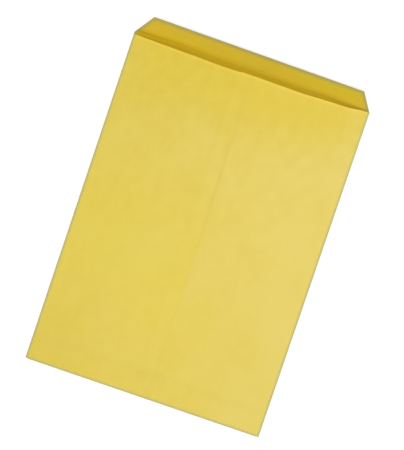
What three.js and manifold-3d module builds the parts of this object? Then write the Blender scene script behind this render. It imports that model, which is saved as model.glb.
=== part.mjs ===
// Laminated pocket envelope: one die-cut sheet, folded and glued into a flat pocket that opens at its
// short end. It lies with its plain front panel down and its seamed side up. The mouth and the open
// top flap point along +Y. Millimetres, +Z up, origin under the middle of the whole outline.

import * as THREE from "three";
import { LoftGeometry } from "three/addons/geometries/LoftGeometry.js";
import { mergeVertices } from "three/addons/utils/BufferGeometryUtils.js";
import Module from "manifold-3d";

// Pocket
const envelopeWidth = 254;
const pocketLength = 355.6; // bottom fold to flap crease

// Laminated sheet and its pressed folds
const sheetThickness = 0.2;
const foldGap = 0.3; // space left inside a fold
const glueBite = 0.05; // depth that two glued faces share
const panelOverlap = 1; // the halves of the front panel share this much on each side of the middle
const legOverlap = 3; // the flaps run this far onto the front panel

// Centre seam, left panel over right panel
const seamLap = 12;
const seamEdgeAtMouth = 2; // visible edge, right of the centre line
const seamEdgeAtBottom = 5.4;
const seamClimb = 9; // run over which the left panel climbs onto the right one

// Bottom flap, folded up inside the pocket and glued under the side panels
const bottomFlapDepth = 26;
const bottomFlapTaper = 12; // each end draws in by this much towards the free edge
const cornerRelief = 3; // notch at each bottom corner
const sidePanelSetback = 0.5; // side panels stop short of the bottom fold
const flapEdgeRun = 12; // run over which the side panels settle beyond the bottom flap

// Mouth and the lift of the seamed side
const mouthGape = 8.4; // rise of the seamed side at the middle of the mouth
const pocketPuff = 6.4; // rise that it keeps further down
const puffRun = 130; // run from the bottom flap over which the puff builds up
const throatDropLeft = 3.3; // side panels stop below the crease by this much at each fold
const throatDropRight = 3.3;
const throatBow = 2.1; // further dip of the mouth edge at its middle

// Top flap, lying open
const flapHeightLeft = 19.3; // crease to free edge
const flapHeightRight = 16;
const flapInsetLeft = 14.9; // how far the free edge draws in from the sides
const flapInsetRight = 12.2;
const shoulderDropLeft = 0.7; // the slanted ends start below the crease by this much
const shoulderDropRight = 2.7;
const flapLift = 1.5; // free edge above the table
const curlPower = 1.5; // how late the flap turns up

// Shape of the lifted panels
const ridgeShare = 0.35; // part of the lift that runs straight down from the seam like a tent
const ridgeRounding = 0.12; // rounding of the tent's ridge, as a share of the half width
const gapePower = 5; // how late the gape grows towards the mouth

// Fineness of the mesh
const panelColumns = 12;
const lapColumns = 3;
const climbColumns = 3;
const pocketRows = 20;
const foldSteps = 6;
const flapRows = 4;
const mergeDistance = 1e-5;

const halfWidth = envelopeWidth / 2;
const foldRadius = sheetThickness + foldGap / 2;
const innerRadius = foldGap / 2;
const bondedStep = sheetThickness - glueBite;
const pocketEnd = pocketLength - Math.max(shoulderDropLeft, shoulderDropRight);
const overallLength = pocketLength + Math.max(flapHeightLeft, flapHeightRight);

const { lerp, clamp, smoothstep } = THREE.MathUtils;
const wasm = await Module();
wasm.setup();

function toSolid(shape) {
  const bare = new THREE.BufferGeometry();
  bare.setAttribute("position", shape.getAttribute("position"));
  bare.setIndex(shape.getIndex());
  const merged = mergeVertices(bare, mergeDistance);
  return new wasm.Manifold(
    new wasm.Mesh({
      numProp: 3,
      vertProperties: merged.attributes.position.array,
      triVerts: new Uint32Array(merged.index.array),
    }),
  );
}

function toGeometry(solid) {
  const { vertProperties, triVerts } = solid.getMesh();
  const geometry = new THREE.BufferGeometry();
  geometry.setAttribute("position", new THREE.BufferAttribute(vertProperties, 3));
  geometry.setIndex(new THREE.BufferAttribute(triVerts, 1));
  geometry.computeVertexNormals();
  return geometry;
}

// A thick sheet through rows of points, each row with an outer and an inner line. A sheet whose rows run
// the other way round is turned, so that its faces point out.
function sheetSolid(rows, turned = false) {
  const sections = rows.map(({ outer, inner }) => {
    const loop = [...outer, ...inner.toReversed()];
    return turned ? loop.toReversed() : loop;
  });
  return toSolid(new LoftGeometry(sections, { capStart: true, capEnd: true }));
}

// A pressed fold turns the sheet back over itself. Each point gives its distance in from the fold's
// outermost line and its height, on the outer and the inner side of the sheet.
function foldPoints() {
  return Array.from({ length: foldSteps + 1 }, (_, step) => {
    const angle = (Math.PI * step) / foldSteps;
    const at = (radius) => [
      foldRadius - radius * Math.sin(angle),
      foldRadius - radius * Math.cos(angle),
    ];
    return { outer: at(foldRadius), inner: at(innerRadius) };
  });
}

function seamEdge(y) {
  return lerp(seamEdgeAtBottom, seamEdgeAtMouth, y / pocketLength);
}

// Share of the full lift across the pocket: none at the side folds, all at the seam.
function archAcross(x, y) {
  const ridge = seamEdge(y) - seamLap / 2;
  const reach = x < ridge ? ridge + halfWidth - foldRadius : halfWidth - foldRadius - ridge;
  const away = clamp(Math.abs(x - ridge) / reach, 0, 1);
  const rounded = (share) => Math.hypot(share, ridgeRounding) - ridgeRounding;
  const tent = 1 - rounded(away) / rounded(1);
  const vault = 1 - away * away;
  return lerp(vault, tent, ridgeShare);
}

// Underside of the seamed side.
function panelUnderside(x, y) {
  const beyondFlap = Math.max(0, y - bottomFlapDepth);
  const along = beyondFlap / (pocketLength - bottomFlapDepth);
  const puff = pocketPuff * smoothstep(beyondFlap, 0, puffRun);
  const lift = puff + (mouthGape - pocketPuff) * along ** gapePower;
  const fromFold = halfWidth - foldRadius - Math.abs(x);
  const ontoFlap = clamp(fromFold / (cornerRelief - foldRadius), 0, 1);
  const overFlap = bondedStep * ontoFlap * (1 - smoothstep(beyondFlap, 0, flapEdgeRun));
  return sheetThickness + foldGap + overFlap + lift * archAcross(x, y);
}

function pocketStations() {
  const settled = bottomFlapDepth + flapEdgeRun;
  const stations = [sidePanelSetback, bottomFlapDepth, bottomFlapDepth + flapEdgeRun / 2];
  for (let row = 0; row <= pocketRows; row++) {
    stations.push(lerp(settled, pocketEnd, row / pocketRows));
  }
  return stations;
}

function spread(from, to, count) {
  return Array.from({ length: count }, (_, step) => lerp(from, to, (step + 1) / count));
}

// One half of the pocket: half of the front panel, a side fold and a side panel up to its free edge.
function pocketHalf(side) {
  const left = side < 0;
  const rows = pocketStations().map((y) => {
    const edge = seamEdge(y);
    const hiddenEdge = edge - seamLap;
    const climbStart = hiddenEdge - seamClimb;
    const relief = side * (halfWidth - cornerRelief);
    const columns = left
      ? [
          relief,
          ...spread(relief, climbStart, panelColumns),
          ...spread(climbStart, hiddenEdge, climbColumns),
          ...spread(hiddenEdge, edge, lapColumns),
        ]
      : [
          relief,
          ...spread(relief, edge, panelColumns),
          ...spread(edge, hiddenEdge, lapColumns),
        ];
    const outer = [new THREE.Vector3(-side * panelOverlap, y, 0)];
    const inner = [new THREE.Vector3(-side * panelOverlap, y, sheetThickness)];
    for (const point of foldPoints()) {
      outer.push(new THREE.Vector3(side * (halfWidth - point.outer[0]), y, point.outer[1]));
      inner.push(new THREE.Vector3(side * (halfWidth - point.inner[0]), y, point.inner[1]));
    }
    for (const x of columns) {
      const climb = left ? bondedStep * smoothstep(x, climbStart, hiddenEdge) : 0;
      const underside = panelUnderside(x, y) + climb;
      inner.push(new THREE.Vector3(x, y, underside));
      outer.push(new THREE.Vector3(x, y, underside + sheetThickness));
    }
    return { outer, inner };
  });
  return sheetSolid(rows, !left);
}

// The bottom flap turns up at the bottom fold and lies flat against the side panels.
function bottomFlap() {
  const row = (halfSpan, outer, inner) => ({
    outer: [-1, 1].map((end) => new THREE.Vector3(end * halfSpan, ...outer)),
    inner: [-1, 1].map((end) => new THREE.Vector3(end * halfSpan, ...inner)),
  });
  const halfSpan = halfWidth - cornerRelief;
  const rows = [row(halfSpan, [legOverlap, 0], [legOverlap, sheetThickness])];
  for (const point of foldPoints()) {
    rows.push(row(halfSpan, point.outer, point.inner));
  }
  const top = 2 * foldRadius;
  const outerEnd = [bottomFlapDepth, top];
  const innerEnd = [bottomFlapDepth, top - sheetThickness];
  rows.push(row(halfSpan - bottomFlapTaper, outerEnd, innerEnd));
  return sheetSolid(rows);
}

// The top flap runs on from the front panel beyond the crease and curls up a little. Its slanted ends
// start at the shoulders.
function topFlap() {
  const base = halfWidth - foldRadius;
  const ends = [
    { base: -base, tip: flapInsetLeft - halfWidth, drop: shoulderDropLeft, height: flapHeightLeft },
    { base, tip: halfWidth - flapInsetRight, drop: shoulderDropRight, height: flapHeightRight },
  ];
  const row = (reach, lift) => {
    const line = (z) =>
      ends.map((end) => {
        const y = reach(end);
        const slant = Math.max(0, y + end.drop) / (end.height + end.drop);
        return new THREE.Vector3(lerp(end.base, end.tip, slant), pocketLength + y, z);
      });
    return { outer: line(lift), inner: line(lift + sheetThickness) };
  };
  const rows = [row(() => pocketEnd - pocketLength - legOverlap, 0), row((end) => -end.drop, 0)];
  for (let step = 0; step <= flapRows; step++) {
    const share = step / flapRows;
    rows.push(row((end) => share * end.height, flapLift * share ** curlPower));
  }
  return sheetSolid(rows, true);
}

// What the die takes off the side panels above the mouth edge.
function throatCut() {
  const reach = halfWidth + cornerRelief;
  const left = pocketLength - throatDropLeft;
  const right = pocketLength - throatDropRight;
  const outline = new THREE.Shape();
  outline.moveTo(-reach, left);
  outline.quadraticCurveTo(0, (left + right) / 2 - 2 * throatBow, reach, right);
  outline.lineTo(reach, overallLength);
  outline.lineTo(-reach, overallLength);
  const cut = new THREE.ExtrudeGeometry(outline, {
    depth: 2 * mouthGape,
    curveSegments: panelColumns,
    bevelEnabled: false,
  });
  return toSolid(cut.translate(0, 0, foldRadius));
}

const folded = pocketHalf(-1)
  .add(pocketHalf(1))
  .subtract(throatCut())
  .add(bottomFlap())
  .add(topFlap());

const laminatedPaper = new THREE.MeshStandardMaterial({
  color: 0xe3cb5d,
  roughness: 0.5,
  metalness: 0,
});
const envelope = new THREE.Mesh(toGeometry(folded), laminatedPaper);
envelope.name = "envelope";
envelope.position.set(0, -overallLength / 2, 0);

const laminatedEnvelope = new THREE.Group();
laminatedEnvelope.add(envelope);

export default laminatedEnvelope;
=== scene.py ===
import math

import bpy
from mathutils import Matrix, Vector


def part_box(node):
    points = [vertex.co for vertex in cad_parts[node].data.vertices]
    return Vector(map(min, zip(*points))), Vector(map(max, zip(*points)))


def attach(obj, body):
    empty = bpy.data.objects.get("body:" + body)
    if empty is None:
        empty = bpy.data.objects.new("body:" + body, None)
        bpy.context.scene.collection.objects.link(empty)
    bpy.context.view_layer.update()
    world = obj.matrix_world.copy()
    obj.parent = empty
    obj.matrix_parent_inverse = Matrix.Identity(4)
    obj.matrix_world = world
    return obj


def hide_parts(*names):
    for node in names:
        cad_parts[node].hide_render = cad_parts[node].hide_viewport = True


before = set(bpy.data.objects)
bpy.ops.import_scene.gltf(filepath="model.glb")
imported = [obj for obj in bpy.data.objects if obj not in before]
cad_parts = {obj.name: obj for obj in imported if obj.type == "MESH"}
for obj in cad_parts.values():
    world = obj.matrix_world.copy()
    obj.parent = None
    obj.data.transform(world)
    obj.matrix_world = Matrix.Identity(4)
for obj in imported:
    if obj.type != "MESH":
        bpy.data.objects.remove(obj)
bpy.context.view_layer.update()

# Folded sheet
# The whole envelope is one die-cut blank of yellow paper with a clear film laminated to its inner face.
# It is folded round the pocket, lapped and glued at a centre seam, and its bottom flap is glued up inside.
# It lies on its plain front with the top flap open. All sizes are in metres.
lowest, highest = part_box("envelope")
outline_length = highest.y - lowest.y  # bottom fold to the flap's furthest corner
flap_height_left = 0.0193  # flap crease to free edge
sheet_thickness = 0.0002
sheet_sizes = {
    "Width": highest.x - lowest.x,
    "Outline length": outline_length,
    "Pocket length": outline_length - flap_height_left,  # bottom fold to flap crease
    "Fold radius": 0.00035,  # outer face of a pressed fold
    "Bonded step": 0.00022,  # rise over one layer of sheet and its glue
    "Seam lap": 0.012,
    "Seam edge at mouth": 0.002,  # visible edge, right of the centre line
    "Seam edge at bottom": 0.0054,
    "Seam climb": 0.009,  # run over which the left panel climbs onto the right one
    "Bottom flap depth": 0.026,
    "Bottom flap taper": 0.012,  # each end draws in by this much towards the free edge
    "Corner relief": 0.003,  # notch at each bottom corner
    "Side panel setback": 0.0005,  # side panels stop short of the bottom fold
    "Flap edge run": 0.012,  # run over which the side panels settle beyond the bottom flap
    "Mouth gape": 0.0084,  # rise of the seamed side at the middle of the mouth
    "Pocket puff": 0.0064,  # rise that it keeps further down
    "Puff run": 0.130,  # run from the bottom flap over which the puff builds up
    "Gape power": 5.0,  # how late the gape grows towards the mouth
    "Ridge share": 0.35,  # part of the lift that runs straight down from the seam like a tent
    "Ridge rounding": 0.12,  # rounding of the tent's ridge, as a share of the half width
    "Throat drop left": 0.0034,  # side panels stop below the crease by this much at each fold
    "Throat drop right": 0.0041,
    "Throat bow": 0.0021,  # further dip of the mouth edge at its middle
    "Throat reach": 0.130,  # from the centre line to the ends of that bow
    "Throat step": 0.0006,  # the right panel stands above the left one by this much at the seam
    "Throat step run": 0.040,
    "Throat dip": 0.00048,  # each panel's edge sags by this much part of the way along
    "Throat dip left": 0.032,  # from the centre line to each sag
    "Throat dip right": 0.056,
    "Throat dip reach": 0.026,
    "Throat corner": 0.104,  # beyond this the edge turns up towards the right fold
    "Throat corner rise": 0.00135,
    "Throat corner run": 0.016,
    "Flap height left": flap_height_left,
    "Flap height right": 0.0160,
    "Flap inset left": 0.0149,  # how far the free edge draws in from the sides
    "Flap inset right": 0.0122,
    "Shoulder drop left": 0.0007,  # the slanted ends start below the crease by this much
    "Shoulder drop right": 0.0027,
    "Flap lift": 0.0015,  # free edge above the table
    "Flap curl": 1.5,  # how late the flap turns up
    "Crease rise left": 0.0032,  # painted crease shade reaches this far above the flap line at each end
    "Crease rise right": -0.0002,
    "Crease wander": 0.0030,  # and bows up by some of this on its way to either end
    "Crease turn": 0.55,  # share of the half width where that bow turns back
    "Score drop": 0.0022,  # the pressed score lies this far below the end of the painted crease shade
    "Score reach": 0.0014,
    "Score bead": 0.00008,  # height of the bead that it leaves
    "Slow wave": 0.00035,  # height of the paper's long waves
    "Quick wave": 0.00003,  # height of its short ones
}

# The blank is a grid of unit cells before it is cut and folded. These are its strips of cells, from left to
# right and from bottom to top.
strips_across = {
    "lap": 24,
    "left panel": 48,
    "left fold": 10,
    "left corner": 2,
    "front": 60,
    "right corner": 2,
    "right fold": 10,
    "right panel": 56,
}
strips_along = {
    "bottom flap": 8,
    "bottom fold": 8,
    "setback": 1,
    "over flap": 18,
    "pocket": 84,
    "neck": 8,
    "top flap": 40,
}


class Reading:
    """A number in a node tree. Arithmetic on it adds Math nodes to that tree."""

    def __init__(self, socket):
        self.socket = socket

    def math(self, operation, *others):
        node = self.socket.id_data.nodes.new("ShaderNodeMath")
        node.operation = operation
        for place, value in zip(node.inputs, (self, *others)):
            feed(place, value)
        return Reading(node.outputs["Value"])

    def __add__(self, other):
        return self.math("ADD", other)

    def __sub__(self, other):
        return self.math("SUBTRACT", other)

    def __rsub__(self, other):
        return (self * -1).math("ADD", other)

    def __mul__(self, other):
        return self.math("MULTIPLY", other)

    def __truediv__(self, other):
        return self.math("DIVIDE", other)

    def __pow__(self, other):
        return self.math("POWER", other)

    def within(self, low, high):
        return self.math("MAXIMUM", low).math("MINIMUM", high)

    def over(self, limit):
        return self.math("GREATER_THAN", limit)

    __radd__ = __add__
    __rmul__ = __mul__


def feed(place, value):
    """Links a reading to an input socket, or writes a plain number there."""
    if isinstance(value, Reading):
        place.id_data.links.new(value.socket, place)
    else:
        place.default_value = value


def joined(tree, *parts):
    """A vector socket made of up to three readings or numbers."""
    node = tree.nodes.new("ShaderNodeCombineXYZ")
    for place, value in zip(node.inputs, parts):
        feed(place, value)
    return node.outputs["Vector"]


def split(vector):
    """The three readings in a vector socket."""
    tree = vector.id_data
    node = tree.nodes.new("ShaderNodeSeparateXYZ")
    tree.links.new(vector, node.inputs["Vector"])
    return [Reading(part) for part in node.outputs]


def between(first, second, share):
    return (second - first) * share + first


def eased(value, start, run):
    """0 up to the start, 1 beyond the run, and a soft step between them."""
    share = ((value - start) / run).within(0, 1)
    return share * share * (3 - 2 * share)


def near(gap, reach):
    """1 where the gap is closed, falling softly to 0 where it is as wide as the reach."""
    return 1 - eased(gap.math("ABSOLUTE"), 0, reach)


def past_crease(sizes, across, along):
    """How far a place on the front panel or the top flap is beyond the end of the painted crease shade."""
    beside_middle = across / (sizes["Width"] / 2)
    from_middle = beside_middle.math("ABSOLUTE").within(0, 1)
    bow = from_middle * from_middle - eased(from_middle, sizes["Crease turn"], 1 - sizes["Crease turn"])
    rise = between(sizes["Crease rise left"], sizes["Crease rise right"], (beside_middle + 1) / 2)
    return along - sizes["Pocket length"] - rise - bow * sizes["Crease wander"]


def strip_shares(position, strips):
    """How far a position has come through each strip, from 0 at its start to 1 at its end."""
    shares = {}
    start = 0
    for name, count in strips.items():
        shares[name] = ((position - start) / count).within(0, 1)
        start += count
    return shares


def strip_span(strips, first, last):
    """The grid lines where a run of strips starts and ends."""
    names = list(strips)
    counts = list(strips.values())
    return sum(counts[: names.index(first)]), sum(counts[: names.index(last) + 1])


fold_tree = bpy.data.node_groups.new("fold_the_blank", "GeometryNodeTree")
for name, value in sheet_sizes.items():
    entry = fold_tree.interface.new_socket(name, in_out="INPUT", socket_type="NodeSocketFloat")
    entry.default_value = value
fold_tree.interface.new_socket("Sheet", in_out="OUTPUT", socket_type="NodeSocketGeometry")
group_input = fold_tree.nodes.new("NodeGroupInput")
size = {name: Reading(group_input.outputs[name]) for name in sheet_sizes}

columns = sum(strips_across.values())
rows = sum(strips_along.values())
blank = fold_tree.nodes.new("GeometryNodeMeshGrid")
blank.inputs["Size X"].default_value = columns
blank.inputs["Size Y"].default_value = rows
blank.inputs["Vertices X"].default_value = columns + 1
blank.inputs["Vertices Y"].default_value = rows + 1
cell_place = split(fold_tree.nodes.new("GeometryNodeInputPosition").outputs["Position"])
column = cell_place[0] + columns / 2
row = cell_place[1] + rows / 2
across = strip_shares(column, strips_across)
along = strip_shares(row, strips_along)


# Die cut: below the side panels only the bottom flap is left, and above the mouth only the top flap.
def beside(first, last):
    return (column - (first + last) / 2).math("ABSOLUTE").over((last - first) / 2)


below_panels = 1 - row.over(strip_span(strips_along, "bottom flap", "setback")[1])
above_panels = row.over(strip_span(strips_along, "neck", "neck")[0])
beside_bottom_flap = beside(*strip_span(strips_across, "front", "front"))
beside_top_flap = beside(*strip_span(strips_across, "left corner", "right corner"))
waste = below_panels * beside_bottom_flap + above_panels * beside_top_flap
die_cut = fold_tree.nodes.new("GeometryNodeDeleteGeometry")
die_cut.domain = "FACE"
feed(die_cut.inputs["Selection"], waste)

# Across the pocket: the front panel, a half turn at each side fold, and the two side panels to the seam.
half_width = size["Width"] / 2
radius = size["Fold radius"]
flat_half = half_width - radius
relief = half_width - size["Corner relief"]
turn_left = 1 - across["left fold"]
turn_right = across["right fold"]
turned = turn_left + turn_right
not_turned = 1 - turned
settled = size["Bottom flap depth"] + size["Flap edge run"]
nominal_y = (
    size["Side panel setback"]
    + along["over flap"] * (settled - size["Side panel setback"])
    + along["pocket"] * (size["Pocket length"] - settled)
)
seam_edge = between(
    size["Seam edge at bottom"], size["Seam edge at mouth"], nominal_y / size["Pocket length"]
)
hidden_edge = seam_edge - size["Seam lap"]
climb_start = hidden_edge - size["Seam climb"]
left_reach = (
    (1 - across["left panel"]) * (climb_start + flat_half)
    + (1 - across["lap"]) * (seam_edge - climb_start)
)
right_reach = across["right panel"] * (flat_half - hidden_edge)
front_x = (
    (across["left corner"] + across["right corner"]) * (flat_half - relief)
    + across["front"] * relief * 2
    - flat_half
)
front_share = (front_x / flat_half + 1) / 2

# The top flap's ends slant in from the shoulders, and the bottom flap's ends taper.
left_run = size["Flap height left"] + size["Shoulder drop left"]
right_run = size["Flap height right"] + size["Shoulder drop right"]
slant_left = (
    size["Shoulder drop left"] * along["neck"] + size["Flap height left"] * along["top flap"]
) / left_run
slant_right = (
    size["Shoulder drop right"] * along["neck"] + size["Flap height right"] * along["top flap"]
) / right_run
left_end = slant_left * (size["Flap inset left"] - radius) - flat_half
right_end = flat_half - slant_right * (size["Flap inset right"] - radius)
bottom_flap = 1 - along["bottom flap"]
taper = 1 - bottom_flap * size["Bottom flap taper"] / relief
flap_x = between(left_end, right_end, front_share) * taper
side_turn = ((turn_right * math.pi).math("SINE") - (turn_left * math.pi).math("SINE")) * radius
x = flap_x + side_turn + left_reach - right_reach

# Along the pocket: the bottom flap, its fold, the pocket up to the shoulders or the mouth edge, and the top
# flap. The two side panels were cut a little unevenly at the mouth.
turn_bottom = 1 - along["bottom fold"]
shoulder = size["Pocket length"] - between(
    size["Shoulder drop left"], size["Shoulder drop right"], front_share
)
throat_share = (x / size["Throat reach"] + 1) / 2
throat = (
    size["Pocket length"]
    - between(size["Throat drop left"], size["Throat drop right"], throat_share)
    - throat_share * (1 - throat_share) * size["Throat bow"] * 4
    + size["Throat corner rise"] * eased(x, size["Throat corner"], size["Throat corner run"])
    + size["Throat step"] * turn_right * (1 - eased(x, 0, size["Throat step run"]))
    - size["Throat dip"] * turn_left * near(x + size["Throat dip left"], size["Throat dip reach"])
    - size["Throat dip"] * turn_right * near(x - size["Throat dip right"], size["Throat dip reach"])
)
pocket_top = between(shoulder, throat, turned)
flap_height = between(size["Flap height left"], size["Flap height right"], front_share)
y = (
    radius * (1 - (turn_bottom * math.pi).math("SINE"))
    + bottom_flap * (size["Bottom flap depth"] - radius)
    + along["setback"] * (size["Side panel setback"] - radius)
    + along["over flap"] * (settled - size["Side panel setback"])
    + along["pocket"] * (pocket_top - settled)
    + along["neck"] * (size["Pocket length"] - pocket_top)
    + along["top flap"] * flap_height
)

# Height: the seamed side is lifted most at the seam and at the mouth, where the pocket has been opened.
ridge = seam_edge - size["Seam lap"] / 2
beside_ridge = x - ridge
ridge_reach = flat_half - ridge * beside_ridge.math("SIGN")
away = (beside_ridge.math("ABSOLUTE") / ridge_reach).within(0, 1)


def rounded_ridge(share):
    softness = size["Ridge rounding"]
    return (softness * softness + share * share).math("SQRT") - softness


tent = 1 - rounded_ridge(away) / rounded_ridge(1)
vault = 1 - away * away
arch = between(vault, tent, size["Ridge share"])
beyond_flap = (y - size["Bottom flap depth"]).math("MAXIMUM", 0)
toward_mouth = beyond_flap / (size["Pocket length"] - size["Bottom flap depth"])
puffed = eased(beyond_flap, 0, size["Puff run"])
gape = (size["Mouth gape"] - size["Pocket puff"]) * toward_mouth ** size["Gape power"]
lift = size["Pocket puff"] * puffed + gape
onto_flap = ((flat_half - x.math("ABSOLUTE")) / (size["Corner relief"] - radius)).within(0, 1)
over_flap = size["Bonded step"] * onto_flap * (1 - eased(beyond_flap, 0, size["Flap edge run"]))
over_seam = size["Bonded step"] * turn_left * eased(x, climb_start, size["Seam climb"])


def paper_wave(wave_length, seed):
    """Soft noise over the lying envelope, from -1 to 1."""
    noise = fold_tree.nodes.new("ShaderNodeTexNoise")
    noise.inputs["Scale"].default_value = 1 / wave_length
    noise.inputs["Detail"].default_value = 1
    fold_tree.links.new(joined(fold_tree, x, y, seed * wave_length), noise.inputs["Vector"])
    return (Reading(noise.outputs["Fac"]) - 0.5) * 2


slow_wave = size["Slow wave"] * paper_wave(wave_length=0.075, seed=4)
quick_wave = size["Quick wave"] * paper_wave(wave_length=0.016, seed=9)
wave = (slow_wave + quick_wave) * (arch.math("SQRT") * puffed)
folds = (turn_left, turn_right, turn_bottom)
half_turns = len(folds) - sum((turn * math.pi).math("COSINE") for turn in folds)
score = near(past_crease(size, x, y) + size["Score drop"], size["Score reach"]) * size["Score bead"]
z = (
    radius * half_turns
    + turned * (lift * arch + over_flap + over_seam + wave)
    + size["Flap lift"] * along["top flap"] ** size["Flap curl"]
    + score * not_turned
)

# The flat place of each point on the blank, which the paper's grain follows.
flat_across = flap_x + (turn_right - turn_left) * radius * math.pi - left_reach + right_reach
flat_along = (
    y
    - bottom_flap * (size["Bottom flap depth"] - radius) * 2
    - turn_bottom * radius * math.pi
)


# How far each point is from the outline, the seam's visible edge and the mouth edge, for the painted shade,
# highlight and sheen along them.
# The front panel and the top flap have no seam or mouth edge, so their gaps to those are a metre wider.
def square_share(run, inset):
    """Turns a gap across the sheet into the gap square to the flap's slanted end."""
    slope = run / (run * run + inset * inset).math("SQRT")
    return between(1, slope, along["neck"])


left_gap = (x - left_end + radius) * square_share(left_run, size["Flap inset left"])
right_gap = (right_end - x + radius) * square_share(right_run, size["Flap inset right"])
end_gap = (1 - along["top flap"]) * flap_height
outline_gap = left_gap.math("MINIMUM", right_gap).math("MINIMUM", end_gap).math("MINIMUM", y)
seam_edge_gap = x - seam_edge + not_turned
mouth_edge_gap = pocket_top - y + not_turned


def stored(name, data_type, domain, value):
    """A node that writes a vector on the sheet under this name."""
    node = fold_tree.nodes.new("GeometryNodeStoreNamedAttribute")
    node.data_type = data_type
    node.domain = domain
    node.inputs["Name"].default_value = name
    fold_tree.links.new(value, node.inputs["Value"])
    return node


flat_map_name = "blank"
gap_map_name = "gaps"
flat_place = joined(fold_tree, flat_across, flat_along)
edge_gaps = joined(fold_tree, outline_gap, seam_edge_gap, mouth_edge_gap)
folded_place = joined(fold_tree, x, y - size["Outline length"] / 2, z)
fold = fold_tree.nodes.new("GeometryNodeSetPosition")
fold_tree.links.new(folded_place, fold.inputs["Position"])
set_paper = fold_tree.nodes.new("GeometryNodeSetMaterial")
steps = [
    blank,
    die_cut,
    stored(flat_map_name, "FLOAT2", "CORNER", flat_place),
    stored(gap_map_name, "FLOAT_VECTOR", "POINT", edge_gaps),
    fold,
    fold_tree.nodes.new("GeometryNodeFlipFaces"),
    fold_tree.nodes.new("GeometryNodeRealizeInstances"),
    set_paper,
    fold_tree.nodes.new("NodeGroupOutput"),
]
for earlier, later in zip(steps, steps[1:]):
    fold_tree.links.new(earlier.outputs[0], later.inputs[0])


# Finishes of the sheet: satin yellow paper outside, a smoother and deeper yellow film inside, and ochre cut
# edges. Their patterns follow the flat blank, with places and reaches in metres across and along it.
def new_finish(name):
    finish = bpy.data.materials.new(name)
    finish.use_nodes = True
    return finish, finish.node_tree, finish.node_tree.nodes["Principled BSDF"]


def blank_map(tree):
    flat = tree.nodes.new("ShaderNodeUVMap")
    flat.uv_map = flat_map_name
    return flat.outputs["UV"]


def gap_map(tree):
    gaps = tree.nodes.new("ShaderNodeAttribute")
    gaps.attribute_name = gap_map_name
    return gaps.outputs["Vector"]


def blank_noise(tree, cell, detail, seed):
    """Noise from 0 to 1 whose coarsest cells have this size across and along the blank."""
    spread = tree.nodes.new("ShaderNodeMapping")
    spread.inputs["Location"].default_value = (seed, seed, 0)
    spread.inputs["Scale"].default_value = (1 / cell[0], 1 / cell[1], 1)
    noise = tree.nodes.new("ShaderNodeTexNoise")
    noise.inputs["Scale"].default_value = 1
    noise.inputs["Detail"].default_value = detail
    tree.links.new(blank_map(tree), spread.inputs["Vector"])
    tree.links.new(spread.outputs["Vector"], noise.inputs["Vector"])
    return Reading(noise.outputs["Fac"])


def around(place, middle, reach):
    return near(place - middle, reach)


def rim_wobble(tree):
    """Noise about 1, which makes the painted shade along a rim wider here and narrower there."""
    return blank_noise(tree, cell=(0.003, 0.003), detail=4, seed=7.5) + 0.5


def mixed_colour(tree, share, first, second):
    mix = tree.nodes.new("ShaderNodeMix")
    mix.data_type = "RGBA"
    feed(mix.inputs["Factor"], share)
    for place, colour in ((mix.inputs["A"], first), (mix.inputs["B"], second)):
        if isinstance(colour, tuple):
            place.default_value = (*colour, 1)
        else:
            tree.links.new(colour, place)
    return mix.outputs["Result"]


def grain_bump(tree, shader, height, depth):
    bump = tree.nodes.new("ShaderNodeBump")
    bump.inputs["Strength"].default_value = 1
    bump.inputs["Distance"].default_value = depth
    feed(bump.inputs["Height"], height)
    tree.links.new(bump.outputs["Normal"], shader.inputs["Normal"])


# Paper: cloudy formation, fibres that run along the blank and a fine grain.
paper_yellow = (0.767, 0.578, 0.035)
paper_shade = (0.710, 0.522, 0.021)
formation_share = 0.68
fibre_share = 0.12
grain_share = 0.2
paper, paper_tree, paper_shader = new_finish("laminated_paper")
blank_across, blank_along, _ = split(blank_map(paper_tree))
rim_gap, seam_gap, mouth_gap = split(gap_map(paper_tree))
formation = eased(blank_noise(paper_tree, cell=(0.011, 0.014), detail=4, seed=1.7), start=0.3, run=0.4)
fibres = blank_noise(paper_tree, cell=(0.0009, 0.006), detail=3, seed=5.2)
fine_grain = blank_noise(paper_tree, cell=(0.0010, 0.0013), detail=3, seed=3.1)
cloud = formation * formation_share + fibres * fibre_share + fine_grain * grain_share
clouded = mixed_colour(paper_tree, cloud, paper_yellow, paper_shade)

# Painted sheen: a pale haze in blotches, more on the right panel beside its fold and its seam, stands in for
# the soft box's reflection on the paper. At the mouth it is painted only at the ends beside the folds.
paper_sheen = (0.790, 0.624, 0.118)
mouth_line = 0.352  # the mouth edge, along the blank
even_sheen = 0.33
blotch_sheen = 0.3
right_fold_sheen = 0.27
seam_sheen = 0.17
mouth_end_sheen = 0.2
from_centre = blank_across.math("ABSOLUTE")
below_mouth = mouth_line - blank_along
blotches = eased(blank_noise(paper_tree, cell=(0.045, 0.06), detail=3, seed=8.4), start=0.25, run=0.5)
onto_right_panel = eased(blank_across, start=0.100, run=0.030)
beside_right_fold = onto_right_panel * (1 - eased(blank_across, start=0.150, run=0.100))
right_of_seam = (eased(seam_gap, start=-0.001, run=0.008) - 0.5) * near(seam_gap, reach=0.060)
seam_middle = around(blank_along, middle=0.150, reach=0.150)
from_mouth = eased(below_mouth, start=0, run=0.090)
beside_folds = around(from_centre, middle=0.130, reach=0.040)
mouth_ends = beside_folds * around(blank_along, middle=0.330, reach=0.070)
painted_sheen = mouth_ends * mouth_end_sheen + from_mouth * (
    beside_right_fold * right_fold_sheen
    + blotches * blotch_sheen
    + right_of_seam * seam_middle * seam_sheen
    + even_sheen
)
sheened = mixed_colour(paper_tree, painted_sheen, clouded, paper_sheen)
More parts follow.
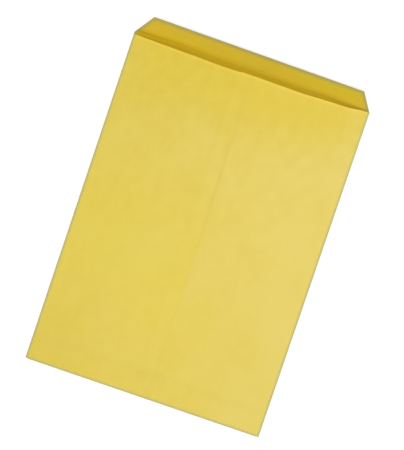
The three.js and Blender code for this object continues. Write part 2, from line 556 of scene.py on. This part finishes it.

# Painted: a deeper colour along the mouth towards the seam stands in for less sheen there, and the same in a
# patch at the lower left stands in for shade.
paper_deep = (0.736, 0.543, 0.008)
mouth_depth = 0.8
left_panel_depth = 0.5
lower_left_depth = 0.3
leftward = blank_across * -1
beside_mouth = 1 - eased(below_mouth, start=0.010, run=0.065)
toward_seam = (
    eased(blank_across, start=0.130, run=0.040)
    + eased(leftward, start=0.180, run=0.070) * left_panel_depth
)
lower_left = (
    (1 - eased(blank_along, start=0, run=0.140))
    * (1 - eased(leftward, start=0.140, run=0.090))
    * around(blank_across, middle=-0.150, reach=0.120)
)
deepening = beside_mouth * toward_seam * mouth_depth + lower_left * lower_left_depth
deepened = mixed_colour(paper_tree, deepening, sheened, paper_deep)

# Painted shade: faint dark lines at the seam's edge and over the edge of the glued flap under the side
# panels, and a darker patch at the lower left and band in the upper part.
paper_shade_line_tone = (0.470, 0.375, 0.035)
seam_line_reach = 0.0032
seam_line = 0.015
upper_seam_line = 0.09
lower_seam_line = 0.03
blotch_seam_line = 0.03
flap_line = 0.045
lower_left_shade = 0.09
upper_band_shade = 0.03
side_panels = eased(from_centre, start=sheet_sizes["Width"] / 2, run=0.004)
flap_shows = around(blank_along, middle=sheet_sizes["Bottom flap depth"], reach=0.009) * side_panels
seam_shows = (
    around(blank_along, middle=0.250, reach=0.100) * upper_seam_line
    + around(blank_along, middle=0.035, reach=0.040) * lower_seam_line
    + blotches * blotch_seam_line
)
painted_shade = (
    near(seam_gap, seam_line_reach) * (seam_shows + seam_line)
    + flap_shows * flap_line
    + lower_left * lower_left_shade
    + around(blank_along, middle=0.290, reach=0.080) * upper_band_shade
)
shade_lined = mixed_colour(paper_tree, painted_shade, deepened, paper_shade_line_tone)

# The left panel is a little more lemon halfway down. Painted light brightens it beside the lower seam, where
# the panels rise from the bottom flap. A painted highlight runs along the mouth edge, and painted shade
# darkens the rounded folds and the rims.
paper_lemon = (0.798, 0.638, 0.048)
paper_lit_tone = (0.870, 0.690, 0.100)
paper_highlight = (0.900, 0.648, 0.025)
paper_rim_shade = (0.465, 0.440, 0.155)
lemon_share = 0.3
painted_light_share = 0.2
mouth_edge_reach = 0.0042
mouth_highlight_share = 0.55
rim_reach = 0.0036
rim_share = 0.9
left_middle = around(blank_along, middle=0.150, reach=0.120) * eased(leftward, start=0.125, run=0.010)
tinted = mixed_colour(paper_tree, left_middle * lemon_share, shade_lined, paper_lemon)
painted_light = around(blank_along, middle=0.085, reach=0.080) * near(seam_gap, reach=0.110)
with_painted_light = mixed_colour(paper_tree, painted_light * painted_light_share, tinted, paper_lit_tone)
# A painted highlight along the mouth edge.
highlighted = mixed_colour(
    paper_tree, near(mouth_gap, mouth_edge_reach) * mouth_highlight_share, with_painted_light, paper_highlight
)
# Painted shade along the rounded folds and the cut rims.
rim_shaded = mixed_colour(
    paper_tree, near(rim_gap * rim_wobble(paper_tree), rim_reach) * rim_share, highlighted, paper_rim_shade
)
paper_tree.links.new(rim_shaded, paper_shader.inputs["Base Color"])

# Its sheen is a little uneven, and its grain can just be felt.
paper_roughness = 0.4
formation_roughness = 0.05
fibre_roughness = 0.04
paper_relief = 0.00008
grain_relief_share = 0.7
fibre_relief_share = 0.3
paper_rough = formation * formation_roughness + fibres * fibre_roughness + paper_roughness
feed(paper_shader.inputs["Roughness"], paper_rough)
paper_height = fine_grain * grain_relief_share + fibres * fibre_relief_share
grain_bump(paper_tree, paper_shader, paper_height, paper_relief)

# Film: softly clouded, and a little olive towards the flap's right tip.
film_yellow = (0.685, 0.470, 0.024)
film_shade = (0.645, 0.435, 0.018)
film_olive = (0.645, 0.486, 0.018)
film_cloud_share = 0.4
film, film_tree, film_shader = new_finish("film_lining")
film_across, film_along, _ = split(blank_map(film_tree))
film_rim_gap, _, _ = split(gap_map(film_tree))
film_cloud = eased(blank_noise(film_tree, cell=(0.016, 0.02), detail=3, seed=2.3), start=0.3, run=0.4)
clouded_film = mixed_colour(film_tree, film_cloud * film_cloud_share, film_yellow, film_shade)
right_tip = eased(film_across, start=-0.020, run=0.140) * eased(film_along, start=0.356, run=0.016)
faded_film = mixed_colour(film_tree, right_tip, clouded_film, film_olive)

# Painted shade at the flap's crease: a deeper band for the crease's shade and the lifted mouth edge's
# shadow, darkening towards both ends, with a thin dark line of painted shade along the score. At the right
# end the band is darker and ends more sharply.
film_band_shade = (0.665, 0.438, 0.005)
film_band_shadow = (0.460, 0.280, 0.003)
band_start = -0.002  # where the band starts to fade, past the end of the painted crease shade
right_band_start = -0.0013
band_run = 0.005
right_band_run = 0.0020
shadow_share = 0.59
right_shadow_share = 0.85
score_share = 0.58
from_middle = (film_across / (sheet_sizes["Width"] / 2)).math("ABSOLUTE").within(0, 1)
past_shade_band = past_crease(sheet_sizes, film_across, film_along)
at_right_end = eased(film_across, start=0.090, run=0.030)
band = 1 - eased(
    past_shade_band,
    start=between(band_start, right_band_start, at_right_end),
    run=between(band_run, right_band_run, at_right_end),
)
near_crease = eased(past_shade_band, start=-0.016, run=0.008)
score_line = near(past_shade_band + sheet_sizes["Score drop"], sheet_sizes["Score reach"])
darkening = between(shadow_share, right_shadow_share, at_right_end)
painted_shadow = (
    from_middle * from_middle * band * near_crease * darkening
    + from_middle * score_line * score_share
)
band_shaded_film = mixed_colour(film_tree, band, faded_film, film_band_shade)
shadowed_film = mixed_colour(film_tree, painted_shadow, band_shaded_film, film_band_shadow)

# Its rim has painted shade too, dark at the edge inside a wider and fainter band.
film_rim_shade = (0.370, 0.332, 0.096)
film_rim_reach = 0.0050
film_rim_share = 0.8
film_haze_reach = 0.016
film_haze_share = 0.1
film_roughness = 0.3
film_cloud_roughness = 0.05
film_gloss = 0.06
film_relief = 0.000012
film_rim_shading = (
    near(film_rim_gap * rim_wobble(film_tree), film_rim_reach) * film_rim_share
    + near(film_rim_gap, film_haze_reach) * film_haze_share
)
rim_shaded_film = mixed_colour(film_tree, film_rim_shading, shadowed_film, film_rim_shade)
film_tree.links.new(rim_shaded_film, film_shader.inputs["Base Color"])
feed(film_shader.inputs["Roughness"], film_cloud * film_cloud_roughness + film_roughness)
film_shader.inputs["Specular IOR Level"].default_value = film_gloss
film_height = blank_noise(film_tree, cell=(0.0012, 0.0016), detail=2, seed=6.6)
grain_bump(film_tree, film_shader, film_height, film_relief)

# Cut edges: bare fibres between the two faces, in a dark ochre that is partly their own colour and partly
# painted shade along the edges.
edge_ochre = (0.560, 0.400, 0.050)
edge_roughness = 0.85
cut_edge, edge_tree, edge_shader = new_finish("cut_edge")
edge_fibres = blank_noise(edge_tree, cell=(0.0005, 0.0005), detail=3, seed=4.4)
fibrous_edge = mixed_colour(edge_tree, edge_fibres, edge_ochre, paper_shade)
edge_tree.links.new(fibrous_edge, edge_shader.inputs["Base Color"])
edge_shader.inputs["Roughness"].default_value = edge_roughness

# The blank is folded, and then gets its thickness on the inner side. Cut edges stay crisp, folds smooth.
sharp_angle = math.radians(40)
set_paper.inputs["Material"].default_value = paper
blank_object = bpy.data.objects.new("blank", bpy.data.meshes.new("blank"))
bpy.context.scene.collection.objects.link(blank_object)
folding = blank_object.modifiers.new("fold", "NODES")
folding.node_group = fold_tree
for item in fold_tree.interface.items_tree:
    if item.in_out == "INPUT":
        folding[item.identifier] = sheet_sizes[item.name]
graph = bpy.context.evaluated_depsgraph_get()
skin = bpy.data.meshes.new_from_object(blank_object.evaluated_get(graph))
bpy.data.objects.remove(blank_object)

finishes = [paper, film, cut_edge]
skin.materials.clear()
for finish in finishes:
    skin.materials.append(finish)
folded_sheet = bpy.data.objects.new("folded_sheet", skin)
bpy.context.scene.collection.objects.link(folded_sheet)
layers = folded_sheet.modifiers.new("thickness", "SOLIDIFY")
layers.thickness = sheet_thickness
layers.offset = -1
layers.use_even_offset = True
layers.material_offset = finishes.index(film)
layers.material_offset_rim = finishes.index(cut_edge)
graph = bpy.context.evaluated_depsgraph_get()
sheet_mesh = bpy.data.meshes.new_from_object(folded_sheet.evaluated_get(graph))
folded_sheet.modifiers.clear()
folded_sheet.data = sheet_mesh
sheet_mesh.name = "folded_sheet"
sheet_mesh.shade_smooth()
sheet_mesh.set_sharp_from_angle(angle=sharp_angle)

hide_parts("envelope")
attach(folded_sheet, "root")

# Floor
# A wide white sheet under the envelope. The camera sees it a little brighter than its colour, so that the
# ground reads as white and still takes the soft shadow.
floor_half = 6
floor_drop = 0.0001
floor_whiteness = 0.93
floor_glow = 0.15
floor_corners = [
    (side_x * floor_half, side_y * floor_half, -floor_drop)
    for side_x, side_y in ((-1, -1), (1, -1), (1, 1), (-1, 1))
]
floor_mesh = bpy.data.meshes.new("floor")
floor_mesh.from_pydata(floor_corners, [], [(0, 1, 2, 3)])
floor = bpy.data.objects.new("floor", floor_mesh)
bpy.context.scene.collection.objects.link(floor)
floor_white, floor_tree, floor_shader = new_finish("floor_white")
floor_shader.inputs["Base Color"].default_value = (*[floor_whiteness] * 3, 1)
floor_shader.inputs["Roughness"].default_value = 1
floor_shader.inputs["Specular IOR Level"].default_value = 0
floor_shader.inputs["Emission Color"].default_value = (1, 1, 1, 1)
rays = floor_tree.nodes.new("ShaderNodeLightPath")
seen = Reading(rays.outputs["Is Camera Ray"])
for kind in ("Is Glossy Ray", "Is Transmission Ray"):
    seen = seen.math("MAXIMUM", Reading(rays.outputs[kind]))
feed(floor_shader.inputs["Emission Strength"], seen * floor_glow)
floor_mesh.materials.append(floor_white)

# Studio light
# A pale room that is dimmer overhead, a strong soft box high above the mouth, and a weaker one from the
# bottom end, which leaves the inside of the mouth in shade.
room_side = 1.0
room_top = 0.22
room = bpy.data.worlds.new("room")
room.use_nodes = True
room_tree = room.node_tree
room_light = room_tree.nodes["Background"]
room_light.inputs["Color"].default_value = (1, 1, 1, 1)
room_height = split(room_tree.nodes.new("ShaderNodeTexCoord").outputs["Generated"])[2]
room_level = room_height.within(0, 1) * (room_top - room_side) + room_side
feed(room_light.inputs["Strength"], room_level)
bpy.context.scene.world = room


def soft_box(name, off_zenith, compass, distance, side, power):
    lamp = bpy.data.lights.new(name, "AREA")
    lamp.shape = "SQUARE"
    lamp.size = side
    lamp.energy = power
    box = bpy.data.objects.new(name, lamp)
    lean = math.radians(off_zenith)
    heading = math.radians(compass)
    direction = Vector((
        math.sin(lean) * math.cos(heading),
        math.sin(lean) * math.sin(heading),
        math.cos(lean),
    ))
    box.location = direction * distance
    box.rotation_euler = direction.to_track_quat("Z", "Y").to_euler()
    bpy.context.scene.collection.objects.link(box)


soft_box("key_box", off_zenith=38, compass=-80, distance=5.0, side=2.2, power=42)
soft_box("top_box", off_zenith=14, compass=60, distance=5.0, side=2.0, power=106)

# Camera
# It looks down on the envelope from a little towards the mouth, and the picture is turned so that the
# mouth points to the upper right.
picture_height = 450  # pixels
metres_per_pixel = 0.00102604  # at the aim
picture_turn = math.radians(18.694)  # from the envelope's length to the picture's upright
eye = Vector((0.0469, 0.1730, 2.5000))
aim = Vector((0.00176, 0.00146, 0.0))
sensor_height = 36  # millimetres

camera_data = bpy.data.cameras.new("camera")
camera_data.sensor_fit = "VERTICAL"
camera_data.sensor_height = sensor_height
camera_data.lens = sensor_height * (eye - aim).length / (picture_height * metres_per_pixel)
camera_data.clip_start = 0.01
camera_data.clip_end = 50
camera = bpy.data.objects.new("camera", camera_data)
back = (eye - aim).normalized()
upright = Vector((-math.sin(picture_turn), math.cos(picture_turn), 0))
right = upright.cross(back).normalized()
facing = Matrix((right, back.cross(right), back)).transposed()
camera.matrix_world = Matrix.Translation(eye) @ facing.to_4x4()
bpy.context.scene.collection.objects.link(camera)
bpy.context.scene.camera = camera
bpy.context.scene.view_settings.view_transform = "Standard"

bpy.context.view_layer.update()
